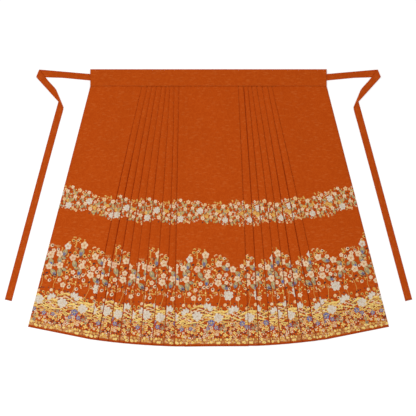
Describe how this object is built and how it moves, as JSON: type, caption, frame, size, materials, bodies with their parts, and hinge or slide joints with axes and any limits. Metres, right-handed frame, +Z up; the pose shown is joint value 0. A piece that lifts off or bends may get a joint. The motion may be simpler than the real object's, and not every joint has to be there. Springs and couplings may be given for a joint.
{
  "type": "horse-face skirt laid flat",
  "caption": "Pleated wrap skirt with flat doors, a folded waistband and two ties, unwrapped and laid face up on a flat surface.",
  "frame": {"origin": "centre of the laid-out skirt's outline, ties included, on the surface that it lies on", "axes": "+X along the waistband to the wearer's left as seen in the picture's right, +Y from the hem to the waistband, +Z up from the surface, out of the cloth's right side"},
  "size_m": [1.426, 0.9712, 0.0062],
  "materials": {
    "skirt_cloth": "rust-orange brocade with a floral border, soft satin sheen",
    "band_cloth": "plain rust-orange brocade ground, soft satin sheen",
    "tie_cloth": "plain rust-orange cloth, soft satin sheen"
  },
  "bodies": {
    "root": {"skirt_left_half": "skirt_cloth", "skirt_right_half": "skirt_cloth", "waistband": "band_cloth", "tie_left": "tie_cloth", "tie_right": "tie_cloth"}
  },
  "joints": []
}
